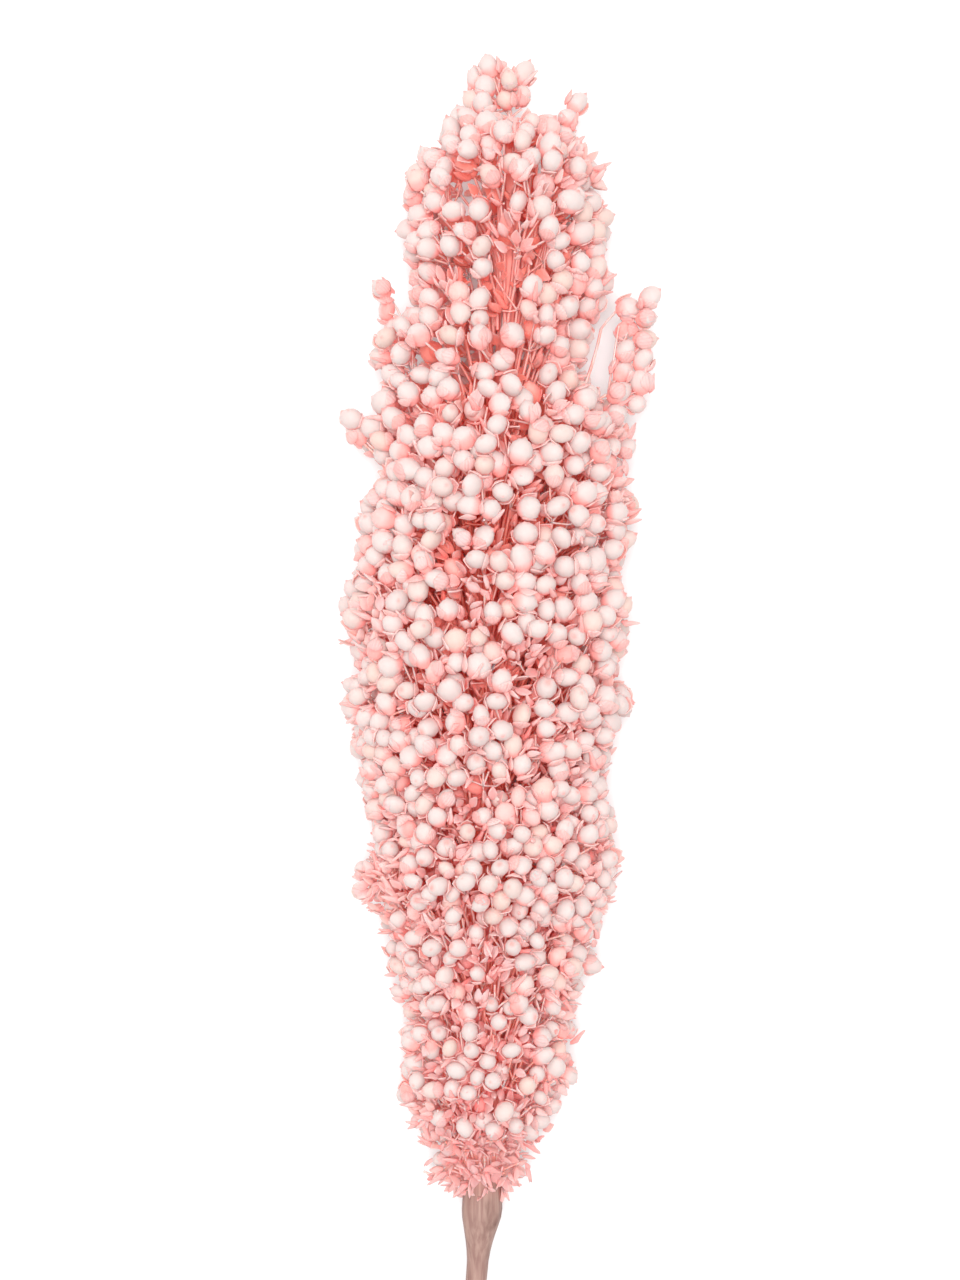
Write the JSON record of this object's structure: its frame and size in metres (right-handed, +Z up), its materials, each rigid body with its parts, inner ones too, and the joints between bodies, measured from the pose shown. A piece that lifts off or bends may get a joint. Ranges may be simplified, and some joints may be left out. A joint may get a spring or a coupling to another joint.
{
  "type": "sorghum seed head",
  "caption": "Dried, dyed sorghum seed head lying on its side: a cut stem and rachis with short branches packed with round pale seeds in pink husks.",
  "frame": {"origin": "the middle of the bounding box, on the surface that the head lies on", "axes": "+Z up; +Y along the head towards its tip, so the cut end of the stem points to -Y; +X across the head"},
  "size_m": [0.0572, 0.2546, 0.044],
  "materials": {
    "stem": "dry, fibrous, dusty pink-brown",
    "branchlet": "dyed salmon pink, dry",
    "husk": "dyed pink, papery",
    "grain": "chalky cream-white, smooth and matt"
  },
  "bodies": {
    "root": {"stem_and_rachis": "stem", "branch_01": "grain", "branch_02": "grain", "branch_03": "grain", "branch_04": "grain", "branch_05": "grain", "branch_06": "grain", "branch_07": "grain", "branch_08": "grain", "branch_09": "grain", "branch_10": "grain", "branch_11": "grain", "branch_12": "grain", "branch_13": "grain", "branch_14": "grain", "branch_15": "grain", "branch_16": "grain", "branch_17": "grain", "branch_18": "grain", "branch_19": "grain", "branch_20": "grain", "branch_21": "grain", "branch_22": "grain", "branch_23": "grain", "branch_24": "grain", "branch_25": "grain", "branch_26": "grain", "branch_27": "grain", "branch_28": "grain", "branch_29": "grain", "branch_30": "grain", "branch_31": "grain", "branch_32": "grain", "branch_33": "grain", "branch_34": "grain", "branch_35": "grain", "branch_36": "grain", "branch_37": "grain", "branch_38": "grain", "branch_39": "grain", "branch_40": "grain", "branch_41": "grain", "branch_42": "grain", "branch_43": "grain", "branch_44": "grain", "branch_45": "grain", "branch_46": "grain", "branch_47": "grain", "branch_48": "grain", "branch_49": "grain", "branch_50": "grain", "tip_cluster": "grain"}
  },
  "joints": []
}
